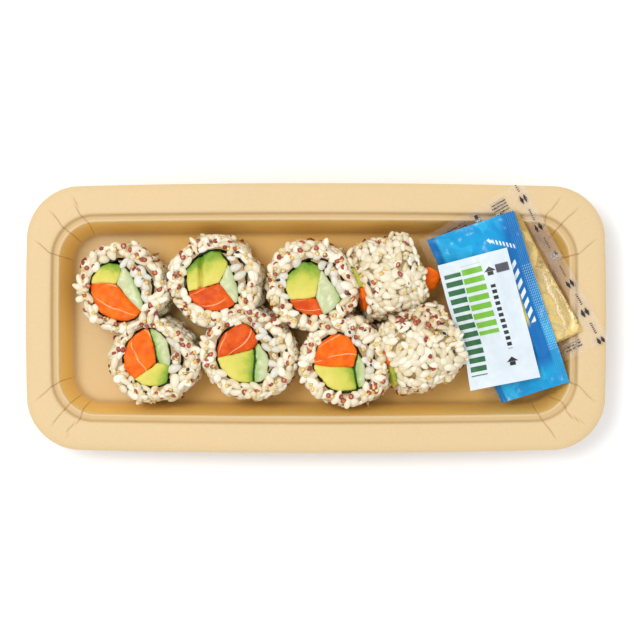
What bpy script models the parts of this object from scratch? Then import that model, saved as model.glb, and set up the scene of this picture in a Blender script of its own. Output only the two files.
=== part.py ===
"""A takeaway sushi tray: pressed board, eight inside-out rolls and three condiment sachets.

Run it with blender --background --python part.py, or from Blender's text editor.
Metres, +Z up. The origin is the middle of the tray's underside, and X runs along the tray.
Each roll is built upright round its own Z axis, on an empty that stands it up or lays it on its side.
"""

import math
import random
from typing import NamedTuple

import bmesh
import bpy
from mathutils import Matrix, Vector
from mathutils.bvhtree import BVHTree

MM = 0.001
GAP = 0.3 * MM  # left between pieces that touch

# The tray, a shell of pressed board with gently bowed sides
TRAY_LENGTH = 256 * MM
TRAY_WIDTH = 119 * MM
TRAY_HEIGHT = 26 * MM
BOARD = 0.7 * MM
LONG_SIDE_BOW = 2.0 * MM
SHORT_SIDE_BOW = 1.3 * MM
CORNER_STEPS = 5
LONG_SIDE_POINTS = 5
SHORT_SIDE_POINTS = 2
# From the turned-down lip to the floor: distance in from the lip, drop below the rim, corner radius
TRAY_PROFILE = (
    (0.0 * MM, 1.7 * MM, 22.0 * MM),
    (0.9 * MM, 0.8 * MM, 21.6 * MM),
    (2.6 * MM, 0.2 * MM, 21.0 * MM),
    (5.0 * MM, 0.0 * MM, 20.4 * MM),
    (11.6 * MM, 0.0 * MM, 18.6 * MM),
    (12.5 * MM, 0.8 * MM, 18.0 * MM),
    (13.5 * MM, 2.8 * MM, 17.2 * MM),
    (15.2 * MM, 3.1 * MM, 16.2 * MM),
    (16.0 * MM, 4.4 * MM, 15.6 * MM),
    (20.4 * MM, 22.4 * MM, 12.8 * MM),
    (21.5 * MM, 24.6 * MM, 12.0 * MM),
    (23.6 * MM, TRAY_HEIGHT - BOARD, 10.5 * MM),
)

WALL_FOOT = 24.0 * MM  # distance in from the lip where food can start, at the floor
WALL_SLOPE = 4.4 / 18  # how far the wall runs outwards as it rises

# The rolls: a coat of rice round a sheet of nori, which curls in over a wedge of the same rice
NORI = 0.6 * MM
SLOT = NORI / 2 + GAP  # from the nori's middle to the rice on either side
TUCK = 1.7 * MM  # how far the nori's inner end lies inside its loop
LOOP_STEP = math.radians(18)
COAT_COLUMNS = 24
# Height up the roll as a share of its length, and how far the coat's edge is rounded in there
COAT_ROWS = (
    (0.0, 1.1 * MM),
    (0.1, 0.2 * MM),
    (0.37, 0.0),
    (0.64, 0.0),
    (0.9, 0.2 * MM),
    (1.0, 1.1 * MM),
)
COAT_BUMP = 0.55 * MM
COAT_LOBES = ((2, 0.020), (3, 0.016))  # number of lobes and their share of the radius
STICK_OUT = {"salmon": 0.7 * MM, "avocado": 0.3 * MM, "cucumber": 0.5 * MM}

# What is pressed into the rice: half lengths along, across and out of the coat
GRAIN = (3.0 * MM, 1.45 * MM, 1.3 * MM)
SEED = (1.2 * MM, 1.1 * MM, 0.95 * MM)
SIDE_GRAINS = 6
END_GRAINS = 3
SIDE_SEEDS = 6
GOLDEN_ANGLE = math.pi * (3 - math.sqrt(5))

COLOURS = {  # base colour, roughness
    "board": ((0.80, 0.61, 0.34), 0.62),
    "rice": ((0.86, 0.83, 0.74), 0.45),
    "nori": ((0.012, 0.020, 0.014), 0.55),
    "salmon": ((0.90, 0.20, 0.045), 0.35),
    "avocado": ((0.62, 0.68, 0.17), 0.45),
    "cucumber": ((0.66, 0.76, 0.47), 0.30),
    "white_sachet": ((0.85, 0.87, 0.88), 0.35),
    "blue_sachet": ((0.03, 0.45, 0.84), 0.25),
    "ginger_sachet": ((0.84, 0.68, 0.40), 0.30),
}


class Roll(NamedTuple):
    """One slice of roll. Angles are in degrees, anticlockwise round the roll's own axis."""

    centre: tuple  # of the face that shows, in plan
    radius: float
    length: float
    loop: float  # radius of the nori's loop
    off: tuple  # where the loop's middle is, from the roll's
    lean: tuple  # how far the foot stands off from under the top, in plan
    curl: tuple  # angle where the nori's inner end lies, span of the wedge, its depth, turning way
    middles: dict  # angle and distance of each filling's middle, from the loop's
    lying: float = None  # which way the axis points in plan, of a roll on its side
    pushed: float = 0.0  # how far the salmon is pushed out of the end


ROLLS = {
    "roll_1": Roll(
        centre=(-85.6 * MM, 13.3 * MM), radius=19.6 * MM, length=27.0 * MM,
        loop=13.7 * MM, off=(0.2 * MM, -0.9 * MM), lean=(2.4 * MM, -0.8 * MM),
        curl=(98, 150, 5.6 * MM, -1),
        middles={"salmon": (206, 6.6 * MM), "avocado": (126, 10.0 * MM), "cucumber": (60, 6.2 * MM)},
    ),
    "roll_2": Roll(
        centre=(-44.9 * MM, 16.3 * MM), radius=20.2 * MM, length=27.5 * MM,
        loop=13.5 * MM, off=(0.8 * MM, 0.0), lean=(2.6 * MM, -0.4 * MM),
        curl=(78, 118, 4.2 * MM, -1),
        middles={"salmon": (267, 9.1 * MM), "avocado": (133, 6.5 * MM), "cucumber": (-8, 10.4 * MM)},
    ),
    "roll_3": Roll(
        centre=(-2.6 * MM, 14.1 * MM), radius=20.0 * MM, length=27.0 * MM,
        loop=12.9 * MM, off=(2.2 * MM, -0.9 * MM), lean=(3.2 * MM, -0.6 * MM),
        curl=(98, 126, 4.4 * MM, -1),
        middles={"salmon": (244, 12.2 * MM), "avocado": (167, 6.6 * MM), "cucumber": (-19, 8.0 * MM)},
    ),
    "roll_4": Roll(
        centre=(35.3 * MM, 18.7 * MM), radius=17.6 * MM, length=27.5 * MM,
        loop=12.4 * MM, off=(0.0, 0.0), lean=(-5.0 * MM, -1.4 * MM),
        curl=(205, 130, 4.4 * MM, 1),
        middles={"salmon": (140, 7.6 * MM), "avocado": (48, 7.0 * MM), "cucumber": (-40, 6.0 * MM)},
        lying=17, pushed=4.6 * MM,
    ),
    "roll_5": Roll(
        centre=(-71.7 * MM, -18.5 * MM), radius=19.0 * MM, length=26.5 * MM,
        loop=12.9 * MM, off=(0.0, 1.2 * MM), lean=(1.6 * MM, 0.4 * MM),
        curl=(-52, 138, 4.6 * MM, 1),
        middles={"salmon": (168, 7.1 * MM), "avocado": (283, 12.6 * MM), "cucumber": (33, 9.3 * MM)},
    ),
    "roll_6": Roll(
        centre=(-29.9 * MM, -15.8 * MM), radius=20.4 * MM, length=27.0 * MM,
        loop=13.6 * MM, off=(0.0, 0.2 * MM), lean=(2.0 * MM, 0.6 * MM),
        curl=(-42, 146, 5.4 * MM, 1),
        middles={"salmon": (133, 8.7 * MM), "avocado": (241, 6.0 * MM), "cucumber": (-34, 9.4 * MM)},
    ),
    "roll_7": Roll(
        centre=(12.8 * MM, -18.6 * MM), radius=20.0 * MM, length=27.5 * MM,
        loop=13.5 * MM, off=(-0.3 * MM, -0.8 * MM), lean=(3.0 * MM, 0.4 * MM),
        curl=(-42, 138, 4.8 * MM, 1),
        middles={"salmon": (137, 5.4 * MM), "avocado": (238, 9.1 * MM), "cucumber": (-12, 12.7 * MM)},
    ),
    "roll_8": Roll(
        centre=(47.8 * MM, -12.2 * MM), radius=18.4 * MM, length=30.0 * MM,
        loop=13.0 * MM, off=(0.0, 0.0), lean=(-4.8 * MM, -2.0 * MM),
        curl=(205, 130, 4.4 * MM, 1),
        middles={"salmon": (52, 7.6 * MM), "avocado": (146, 7.4 * MM), "cucumber": (-38, 5.6 * MM)},
        lying=25,
    ),
}
LYING_SAG = 1.0 * MM  # how far a roll on its side is flattened underneath


class Sachet(NamedTuple):
    """One sachet, laid over what is under it. Its corners are in plan, clockwise from the top left."""

    corners: tuple
    cells: tuple  # across, along
    film: float  # thickness where it is sealed
    fill: float  # more thickness in the middle
    seals: tuple  # width of the seal at the left, right and both ends, as shares of the half size
    reach: float  # how far round a point it is held up
    tucked: float = 0.0  # how far its left side is pushed in


SACHETS = {
    "ginger_sachet": Sachet(
        corners=(
            (45.4 * MM, 34.4 * MM), (89.6 * MM, 59.0 * MM), (127.4 * MM, -9.6 * MM), (77.4 * MM, -35.2 * MM),
        ),
        cells=(10, 14), film=0.6 * MM, fill=8.0 * MM, seals=(0.12, 0.42, 0.16), reach=4.0 * MM,
        tucked=1.8 * MM,
    ),
    "blue_sachet": Sachet(
        corners=(
            (48.8 * MM, 34.4 * MM), (86.9 * MM, 47.2 * MM), (111.6 * MM, -28.2 * MM), (82.6 * MM, -37.8 * MM),
        ),
        cells=(9, 14), film=0.6 * MM, fill=4.6 * MM, seals=(0.20, 0.24, 0.12), reach=3.0 * MM,
    ),
    "white_sachet": Sachet(
        corners=(
            (53.4 * MM, 23.0 * MM), (83.4 * MM, 30.8 * MM), (98.6 * MM, -26.0 * MM), (67.9 * MM, -32.2 * MM),
        ),
        cells=(7, 10), film=0.6 * MM, fill=2.6 * MM, seals=(0.22, 0.22, 0.20), reach=3.0 * MM,
        tucked=4.6 * MM,
    ),
}
DROP_FROM = 60 * MM
LIFT = 0.6 * MM  # between a sachet and what holds it up
SAG_STEP = 0.12 * MM
SAG_ROUNDS = 1400


def clear_scene():
    for old in list(bpy.data.objects):
        bpy.data.objects.remove(old)


def material(name):
    """The named finish, made once."""
    if name in bpy.data.materials:
        return bpy.data.materials[name]
    colour, roughness = COLOURS[name]
    made = bpy.data.materials.new(name)
    made.use_nodes = True
    shader = made.node_tree.nodes["Principled BSDF"]
    shader.inputs["Base Color"].default_value = (*colour, 1.0)
    shader.inputs["Roughness"].default_value = roughness
    return made


def add_object(name, bm, finish, collection, parent=None):
    """Turns a bmesh into a named object."""
    mesh = bpy.data.meshes.new(name)
    bm.to_mesh(mesh)
    bm.free()
    mesh.materials.append(material(finish))
    made = bpy.data.objects.new(name, mesh)
    collection.objects.link(made)
    made.parent = parent
    return made


def skin(bm, rings):
    """A wall through rings of points. Returns the edges of its first ring and of its last."""
    rows = [[bm.verts.new(p) for p in ring] for ring in rings]
    for low, high in zip(rows, rows[1:]):
        for a, b, c, d in zip(low, low[1:] + low[:1], high[1:] + high[:1], high):
            bm.faces.new((a, b, c, d))
    ends = (rows[0], rows[-1])
    return [[bm.edges.get(pair) for pair in zip(row, row[1:] + row[:1])] for row in ends]


def prism(outline, low, high):
    """A bmesh of a flat outline drawn up from low to high."""
    bm = bmesh.new()
    foot = bm.faces.new([bm.verts.new((x, y, low)) for x, y in outline])
    drawn = bmesh.ops.extrude_face_region(bm, geom=[foot])["geom"]
    top = [v for v in drawn if isinstance(v, bmesh.types.BMVert)]
    bmesh.ops.translate(bm, verts=top, vec=(0, 0, high - low))
    bmesh.ops.triangulate(bm, faces=bm.faces[:], ngon_method="EAR_CLIP")
    bmesh.ops.recalc_face_normals(bm, faces=bm.faces[:])
    return bm


# The tray


def bowed(x, y):
    """Moves a point of a straight-sided outline out to the tray's bowed sides."""
    half_x = TRAY_LENGTH / 2 - SHORT_SIDE_BOW
    half_y = TRAY_WIDTH / 2 - LONG_SIDE_BOW
    out_x = SHORT_SIDE_BOW * (x / half_x) * (1 - (y / half_y) ** 2)
    out_y = LONG_SIDE_BOW * (y / half_y) * (1 - (x / half_x) ** 2)
    return x + out_x, y + out_y


def tray_outline(inset, radius):
    """The tray's rounded outline, drawn in by inset, anticlockwise from the right."""
    half_x = TRAY_LENGTH / 2 - SHORT_SIDE_BOW - inset
    half_y = TRAY_WIDTH / 2 - LONG_SIDE_BOW - inset
    corners = []
    for quarter, (way_x, way_y) in enumerate(((1, 1), (-1, 1), (-1, -1), (1, -1))):
        arc = []
        for step in range(CORNER_STEPS + 1):
            angle = math.pi / 2 * (quarter + step / CORNER_STEPS)
            arc.append(
                Vector((
                    way_x * (half_x - radius) + radius * math.cos(angle),
                    way_y * (half_y - radius) + radius * math.sin(angle),
                ))
            )
        corners.append(arc)
    points = []
    for quarter, arc in enumerate(corners):
        points += arc
        to = corners[(quarter + 1) % 4][0]
        between = SHORT_SIDE_POINTS if quarter % 2 else LONG_SIDE_POINTS
        points += [arc[-1].lerp(to, (n + 1) / (between + 1)) for n in range(between)]
    return [bowed(*p) for p in points]


def build_tray(collection):
    bm = bmesh.new()
    rings = []
    for inset, drop, radius in TRAY_PROFILE:
        height = TRAY_HEIGHT - drop
        rings.append([(x, y, height) for x, y in tray_outline(inset, radius)])
    _, floor_edge = skin(bm, rings)
    floor = bmesh.ops.contextual_create(bm, geom=floor_edge)["faces"][0]
    bmesh.ops.recalc_face_normals(bm, faces=bm.faces[:])
    if floor.normal.z < 0:
        bmesh.ops.reverse_faces(bm, faces=bm.faces[:])
    tray = add_object("tray", bm, "board", collection)
    wall = tray.modifiers.new("board", "SOLIDIFY")
    wall.thickness = BOARD
    wall.offset = -1
    wall.use_even_offset = True
    return tray


# The rolls


def roll_frame(roll):
    """The matrix that stands a roll up on the tray's floor, or lays it on its side."""
    floor = BOARD + GAP
    if roll.lying is None:
        return Matrix.Translation((*roll.centre, floor))
    turn = math.radians(roll.lying)
    along = Vector((math.cos(turn), math.sin(turn), 0))
    up = Vector((0, 0, 1))
    across = up.cross(along)
    middle = Vector((*roll.centre, floor + roll.radius - LYING_SAG))
    turned = Matrix((across, up, along)).transposed().to_4x4()
    return Matrix.Translation(middle) @ turned @ Matrix.Translation((0, 0, -roll.length / 2))


def reach(roll, way):
    """How far a roll's footprint reaches from its centre in a plan direction."""
    if roll.lying is None:
        return roll.radius
    turn = math.radians(roll.lying)
    along = abs(way.x * math.cos(turn) + way.y * math.sin(turn))
    across = abs(way.y * math.cos(turn) - way.x * math.sin(turn))
    return along * roll.length / 2 + across * roll.radius


def contact_planes(name):
    """Planes, in the world, that a roll stays behind: floor, walls, and halfway to its neighbours."""
    roll = ROLLS[name]
    planes = [(Vector((0, 0, BOARD + GAP)), Vector((0, 0, -1)))]
    for way in (Vector((-1, 0)), Vector((0, 1)), Vector((0, -1))):
        half = TRAY_LENGTH / 2 if way.x else TRAY_WIDTH / 2
        at = Vector((*(way * (half - WALL_FOOT)), BOARD))
        planes.append((at, Vector((*way, -WALL_SLOPE)).normalized()))
    for other_name, other in ROLLS.items():
        if other_name == name:
            continue
        apart = Vector(other.centre) - Vector(roll.centre)
        way = apart.normalized()
        mine, theirs = reach(roll, way), reach(other, way)
        slack = 4 * MM  # room for bumps and lean
        if apart.length > mine + theirs + slack:
            continue
        at = Vector(roll.centre) + way * (apart.length * mine / (mine + theirs) - GAP / 2)
        foot = (Vector(roll.lean) + Vector(other.lean)) / 2
        planes.append((Vector((*(at + foot / 2), 0)), Vector((*way, 0))))
    return planes


class Shape:
    """Carries a point of a roll's own frame to where the leaning, pressed roll has it."""

    def __init__(self, name):
        self.roll = ROLLS[name]
        self.frame = roll_frame(self.roll)
        self.back = self.frame.inverted()
        self.planes = contact_planes(name)
        self.top = self.roll.length if self.roll.lying is None else 2 * self.roll.radius

    def leaned(self, point):
        world = self.frame @ Vector(point)
        share = 1 - (world.z - BOARD) / self.top
        return world + share * Vector((*self.roll.lean, 0))

    def press(self, past, normal):
        """How a point beyond a plane moves back: along the roll where the plane cuts across it."""
        along = (self.frame @ Vector((0, 0, 1)) - self.frame.translation).normalized()
        facing = along.dot(normal)
        if abs(facing) > 0.5:
            return past / facing * along
        return past * normal

    def placed(self, point):
        """In the roll's frame, after leaning and pressing."""
        world = self.leaned(point)
        for at, normal in self.planes:
            past = (world - at).dot(normal)
            if past > 0:
                world -= self.press(past, normal)
        return self.back @ world

    def room(self, point):
        """How far a placed point of the roll's frame is from the nearest contact plane."""
        world = self.frame @ Vector(point)
        return min((at - world).dot(normal) for at, normal in self.planes)

    def apply(self, bm):
        for vert in bm.verts:
            vert.co = self.placed(vert.co)


def nori_path(roll):
    """The nori's middle line as (angle, radius), from its inner end over the wedge and round the loop."""
    start, span, depth, way = roll.curl
    span = math.radians(span)
    mouth = 0.28 * span
    end = 2 * math.pi + span - mouth
    steps = round(end / LOOP_STEP)
    path = []
    for n in range(steps + 1):
        along = end * n / steps
        radius = roll.loop
        if along < span:
            share = along / span
            radius -= TUCK * (1 - share) + depth * math.sin(math.pi * share)
        path.append((along, radius))
    return path


def on_spiral(roll, along, radius):
    start, _, _, way = roll.curl
    angle = math.radians(start) + way * along
    return Vector(roll.off) + radius * Vector((math.cos(angle), math.sin(angle)))


def strip_outline(roll, half):
    """The outline of a strip that runs half to each side of the nori's line."""
    path = nori_path(roll)
    outer = [on_spiral(roll, a, r + half) for a, r in path]
    inner = [on_spiral(roll, a, r - half) for a, r in path]
    return outer, inner


def rice_hole(roll):
    """The hole in the rice: the fillings' pocket and the slot that the nori's outer end lies in."""
    outer, inner = strip_outline(roll, SLOT)
    over = [n for n, (along, _) in enumerate(nori_path(roll)) if along >= 2 * math.pi]
    return outer + [inner[n] for n in reversed(over)]


def pocket_outline(roll):
    """The space inside the nori that the fillings share."""
    _, inner = strip_outline(roll, SLOT)
    return [p for p, (along, _) in zip(inner, nori_path(roll)) if along < 2 * math.pi]


def clipped(outline, at, normal):
    """The part of an outline behind a line, given by a point on it and its normal."""
    kept = []
    for a, b in zip(outline, outline[1:] + outline[:1]):
        past_a, past_b = (a - at).dot(normal), (b - at).dot(normal)
        if past_a <= 0:
            kept.append(a)
        if past_a * past_b < 0:
            kept.append(a.lerp(b, past_a / (past_a - past_b)))
    return kept


def filling_outline(roll, filling):
    """Each filling takes the part of the pocket that is nearest to its own middle."""
    middles = {
        name: Vector(roll.off) + far * Vector((math.cos(math.radians(turn)), math.sin(math.radians(turn))))
        for name, (turn, far) in roll.middles.items()
    }
    outline = pocket_outline(roll)
    own = middles[filling]
    for name, other in middles.items():
        if name == filling:
            continue
        way = (other - own).normalized()
        outline = clipped(outline, (own + other) / 2 - way * GAP / 2, way)
    return outline


def coat_point(roll, angle, height_share, bump):
    """A point of the coat's side: lobed, rounded at its ends and bumped."""
    radius = roll.radius + bump
    for lobes, share in COAT_LOBES:
        radius += roll.radius * share * math.cos(lobes * angle + roll.radius / MM)
    return radius * math.cos(angle), radius * math.sin(angle), height_share * roll.length


def build_coat(name, shape):
    """The rice: bumped outside, with the pocket and the nori's slot through it."""
    roll = shape.roll
    dice = random.Random(name)
    bm = bmesh.new()
    rings = []
    for share, rounding in COAT_ROWS:
        ring = []
        for column in range(COAT_COLUMNS):
            angle = 2 * math.pi * column / COAT_COLUMNS
            bump = dice.uniform(-COAT_BUMP, COAT_BUMP) - rounding
            ring.append(shape.placed(coat_point(roll, angle, share, bump)))
        rings.append(ring)
    hole = rice_hole(roll)
    outside = skin(bm, rings)
    inside = skin(bm, [[shape.placed((x, y, z)) for x, y in hole] for z in (0, roll.length)])
    for outer, mouth in zip(outside, inside):
        bmesh.ops.triangle_fill(bm, use_beauty=True, edges=outer + mouth)
    bmesh.ops.triangulate(bm, faces=bm.faces[:])
    bmesh.ops.recalc_face_normals(bm, faces=bm.faces[:])
    return bm


def pressed_piece(sizes, at, along, out, turn):
    """A grain or seed of a few faces, half sunk at a point, its length turned in the surface."""
    across = out.cross(along).normalized()
    along = across.cross(out).normalized()
    lengthwise = math.cos(turn) * along + math.sin(turn) * across
    crosswise = out.cross(lengthwise)
    axes = Matrix((lengthwise * sizes[0], crosswise * sizes[1], out * sizes[2])).transposed()
    bm = bmesh.new()
    placing = Matrix.Translation(at) @ axes.to_4x4()
    bmesh.ops.create_icosphere(bm, subdivisions=1, radius=1.0, matrix=placing)
    bmesh.ops.recalc_face_normals(bm, faces=bm.faces[:])
    return bm


def side_place(shape, angle, share):
    """Point, direction along the roll and outward normal of the coat's side."""
    here = shape.placed(coat_point(shape.roll, angle, share, 0))
    up = shape.placed(coat_point(shape.roll, angle, share + 0.02, 0)) - here
    round_about = shape.placed(coat_point(shape.roll, angle + 0.02, share, 0)) - here
    return here, up.normalized(), round_about.cross(up).normalized()


def end_place(shape, angle, share):
    """Point, direction round the roll and outward normal in the ring of rice at an end."""
    roll = shape.roll
    radius = (roll.loop + SLOT + roll.radius) / 2
    here = shape.placed((radius * math.cos(angle), radius * math.sin(angle), share * roll.length))
    outward = Vector((math.cos(angle), math.sin(angle), 0))
    out = Vector((0, 0, 1 if share > 0.5 else -1))
    return here, out.cross(outward), out


def pressed_pieces(name, shape):
    """Grains and seeds spread evenly over the coat, clear of the neighbours and the tray."""
    dice = random.Random(name + "_pieces")
    count = SIDE_GRAINS + SIDE_SEEDS
    made = []
    for n in range(count):
        sizes = GRAIN if n % 2 else SEED
        here, along, out = side_place(shape, n * GOLDEN_ANGLE, 0.14 + 0.72 * (n + 0.5) / count)
        if shape.room(here) > max(sizes):
            made.append(pressed_piece(sizes, here, along, out, dice.uniform(0, math.pi)))
    ends = (1.0,) if shape.roll.lying is None else (0.0, 1.0)
    for share in ends:
        for n in range(END_GRAINS):
            angle = 2 * math.pi * (n + 0.6 * share) / END_GRAINS + 0.4
            here, along, out = end_place(shape, angle, share)
            if shape.room(here) > max(GRAIN):
                made.append(pressed_piece(GRAIN, here, along, out, 0.0))
    return made


def fuse(target, pieces, parent):
    """Joins loose pieces to the target with one union, and removes them."""
    loose = bpy.data.collections.new(target.name + "_loose")
    bpy.context.scene.collection.children.link(loose)
    for n, bm in enumerate(pieces):
        add_object(f"{target.name}_loose_{n}", bm, "rice", loose, parent)
    union = target.modifiers.new("pieces", "BOOLEAN")
    union.operation = "UNION"
    union.operand_type = "COLLECTION"
    union.collection = loose
    union.solver = "MANIFOLD"
    bpy.context.view_layer.update()
    evaluated = target.evaluated_get(bpy.context.evaluated_depsgraph_get())
    joined = bpy.data.meshes.new_from_object(evaluated)
    target.modifiers.remove(union)
    target.data = joined
    for piece in list(loose.objects):
        bpy.data.objects.remove(piece)
    bpy.data.collections.remove(loose)


def build_roll(name, collection):
    roll = ROLLS[name]
    shape = Shape(name)
    holder = bpy.data.objects.new(name, None)
    holder.matrix_world = shape.frame
    collection.objects.link(holder)

    rice = add_object(f"{name}_rice", build_coat(name, shape), "rice", collection, holder)
    fuse(rice, pressed_pieces(name, shape), holder)

    outer, inner = strip_outline(roll, NORI / 2)
    bm = prism(outer + inner[::-1], 0, roll.length)
    shape.apply(bm)
    add_object(f"{name}_nori", bm, "nori", collection, holder)

    for filling, out in STICK_OUT.items():
        high = roll.length + out + (roll.pushed if filling == "salmon" else 0)
        bm = prism(filling_outline(roll, filling), 0, high)
        shape.apply(bm)
        add_object(f"{name}_{filling}", bm, filling, collection, holder)


# The sachets


def plan_point(sachet, u, v):
    """The plan point at u across, from the left, and v along, from the top."""
    top_left, top_right, low_right, low_left = (Vector(c) for c in sachet.corners)
    left = top_left.lerp(low_left, v)
    right = top_right.lerp(low_right, v)
    left += (right - left).normalized() * sachet.tucked * math.sin(math.pi * v)
    return left.lerp(right, u)


def support_under(trees, x, y, around):
    """The highest thing within reach of a plan point."""
    highest = 0.0
    spots = [(0, 0)] + [(math.cos(k * math.pi / 4), math.sin(k * math.pi / 4)) for k in range(8)]
    for far in (0.5, 1.0):
        for dx, dy in spots:
            above = Vector((x + far * around * dx, y + far * around * dy, DROP_FROM))
            for tree in trees:
                hit = tree.ray_cast(above, Vector((0, 0, -1)))[0]
                if hit is not None:
                    highest = max(highest, hit.z)
    return highest + LIFT


def draped_heights(sachet, trees):
    """Lets a slack sheet down on to what is under it: each point follows its neighbours until it is held."""
    across, along = sachet.cells
    held = [
        [
            support_under(trees, *plan_point(sachet, i / across, j / along), sachet.reach)
            for j in range(along + 1)
        ]
        for i in range(across + 1)
    ]
    heights = [[DROP_FROM / 2] * (along + 1) for _ in range(across + 1)]
    for _ in range(SAG_ROUNDS):
        for i in range(across + 1):
            for j in range(along + 1):
                near = [
                    heights[a][b]
                    for a, b in ((i - 1, j), (i + 1, j), (i, j - 1), (i, j + 1))
                    if 0 <= a <= across and 0 <= b <= along
                ]
                heights[i][j] = max(held[i][j], sum(near) / len(near) - SAG_STEP)
    return heights


def fill_share(sachet, u, v):
    """How full the sachet is at a point: nothing in the seals, most in the middle."""
    left, right, end = sachet.seals
    from_side = min((u * 2 - left) / (1 - left), ((1 - u) * 2 - right) / (1 - right))
    from_end = min((v * 2 - end) / (1 - end), ((1 - v) * 2 - end) / (1 - end))
    side = math.sin(math.pi / 2 * max(0.0, min(1.0, from_side)))
    ends = math.sin(math.pi / 2 * max(0.0, min(1.0, from_end * 2.2)))
    return side * ends


def build_sachet(name, collection, under):
    """A sheet of cells drawn up to the sachet's thickness and laid on what is under it."""
    sachet = SACHETS[name]
    graph = bpy.context.evaluated_depsgraph_get()
    trees = [BVHTree.FromObject(o, graph) for o in under]
    heights = draped_heights(sachet, trees)
    across, along = sachet.cells
    bm = bmesh.new()
    bmesh.ops.create_grid(bm, x_segments=across, y_segments=along, size=0.5)
    drawn = bmesh.ops.extrude_face_region(bm, geom=bm.faces[:])["geom"]
    upper = {v for v in drawn if isinstance(v, bmesh.types.BMVert)}
    for vert in bm.verts:
        u, v = vert.co.x + 0.5, 0.5 - vert.co.y
        z = heights[round(u * across)][round(v * along)]
        if vert in upper:
            z += sachet.film + sachet.fill * fill_share(sachet, u, v)
        vert.co = (*plan_point(sachet, u, v), z)
    bmesh.ops.recalc_face_normals(bm, faces=bm.faces[:])
    return add_object(name, bm, name, collection)


def main():
    clear_scene()
    collection = bpy.data.collections.new("sushi_tray")
    bpy.context.scene.collection.children.link(collection)
    tray = build_tray(collection)
    for name in ROLLS:
        build_roll(name, collection)
    bpy.context.view_layer.update()
    under = [tray]
    for name in SACHETS:
        under.append(build_sachet(name, collection, under))
        bpy.context.view_layer.update()


main()
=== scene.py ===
"""The looks of a takeaway sushi tray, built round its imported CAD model."""

import math
import random
from contextlib import contextmanager

import bpy
import numpy as np
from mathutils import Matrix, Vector, noise
from mathutils.bvhtree import BVHTree


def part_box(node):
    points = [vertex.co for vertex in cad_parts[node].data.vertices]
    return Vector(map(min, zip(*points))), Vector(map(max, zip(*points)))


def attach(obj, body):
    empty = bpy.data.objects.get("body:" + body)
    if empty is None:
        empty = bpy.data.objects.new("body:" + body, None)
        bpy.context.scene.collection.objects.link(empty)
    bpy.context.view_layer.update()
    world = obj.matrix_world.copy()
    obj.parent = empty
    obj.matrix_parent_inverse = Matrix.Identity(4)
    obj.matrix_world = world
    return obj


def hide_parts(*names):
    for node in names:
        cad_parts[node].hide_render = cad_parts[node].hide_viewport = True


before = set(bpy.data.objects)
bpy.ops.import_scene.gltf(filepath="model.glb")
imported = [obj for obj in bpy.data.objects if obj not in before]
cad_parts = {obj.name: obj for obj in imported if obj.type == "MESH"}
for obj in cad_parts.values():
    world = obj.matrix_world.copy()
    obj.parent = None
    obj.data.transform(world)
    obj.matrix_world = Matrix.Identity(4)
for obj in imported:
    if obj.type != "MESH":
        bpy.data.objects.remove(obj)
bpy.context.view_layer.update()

MM = 0.001
UP = Vector((0, 0, 1))
STANDING = ("roll_1", "roll_2", "roll_3", "roll_5", "roll_6", "roll_7")
LYING = {"roll_4": 17, "roll_8": 25}  # which way each roll's axis points in plan, in degrees
ROLLS = sorted(STANDING + tuple(LYING))
NOISE_SEED = 4  # without it, the noise that shifts the rolls differs from run to run


# Working by hand in Blender


def pick(obj):
    """Selects one object alone and makes it active."""
    bpy.ops.object.select_all(action="DESELECT")
    obj.select_set(True)
    bpy.context.view_layer.objects.active = obj


@contextmanager
def editing(obj):
    """Edit mode with all of an object selected."""
    pick(obj)
    bpy.ops.object.mode_set(mode="EDIT")
    bpy.ops.mesh.select_all(action="SELECT")
    yield
    bpy.ops.object.mode_set(mode="OBJECT")


def finish_with(obj, kind, **values):
    """Adds a modifier and applies it."""
    pick(obj)
    modifier = obj.modifiers.new(kind, kind)
    for name, value in values.items():
        setattr(modifier, name, value)
    bpy.ops.object.modifier_apply(modifier=modifier.name)


def smooth(obj, angle=None):
    """Shades a piece smooth, or only where its faces meet at less than that angle in degrees."""
    pick(obj)
    if angle is None:
        bpy.ops.object.shade_smooth()
    else:
        bpy.ops.object.shade_smooth_by_angle(angle=math.radians(angle))


def held(value):
    """Keeps a value between 0 and 1."""
    return min(1.0, max(0.0, value))


def named(obj, name, finish, slot, *nodes):
    """Names a finished piece, gives it its material and lets it ride with the tray."""
    obj.name = name
    obj.data.name = name
    obj.data.materials.clear()
    obj.data.materials.append(finish)
    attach(obj, "root")
    if nodes:
        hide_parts(*nodes)
    return obj


def copy_of(node):
    """A copy of a CAD node, its loose triangles merged."""
    made = bpy.data.objects.new(node + "_copy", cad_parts[node].data.copy())
    bpy.context.scene.collection.objects.link(made)
    pick(made)
    bpy.ops.mesh.customdata_custom_splitnormals_clear()
    with editing(made):
        bpy.ops.mesh.remove_doubles(threshold=0.01 * MM)
    return made


def tree_of(obj):
    """A search tree of an object's own mesh."""
    mesh = obj.data
    return BVHTree.FromPolygons([v.co for v in mesh.vertices], [p.vertices for p in mesh.polygons])


def slab(columns, rows):
    """A grid from 0 to 1 both ways, drawn up into a slab that is 1 thick."""
    bpy.ops.object.select_all(action="DESELECT")
    middle = (0.5, 0.5, 0)
    bpy.ops.mesh.primitive_grid_add(x_subdivisions=columns, y_subdivisions=rows, size=1, location=middle)
    bpy.ops.object.transform_apply(location=True)
    made = bpy.context.object
    with editing(made):
        bpy.ops.mesh.extrude_region_move(TRANSFORM_OT_translate={"value": (0, 0, 1)})
        bpy.ops.mesh.select_all(action="SELECT")
        bpy.ops.mesh.normals_make_consistent(inside=False)
    return made


def beyond(line, place):
    """How far a place lies beyond a line in plan, which is given by two points in mm."""
    start, end = (Vector((*point, 0)) * MM for point in line)
    way = (end - start).normalized()
    return (Vector((place.x, place.y, 0)) - start).dot(Vector((-way.y, way.x, 0)))


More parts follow.
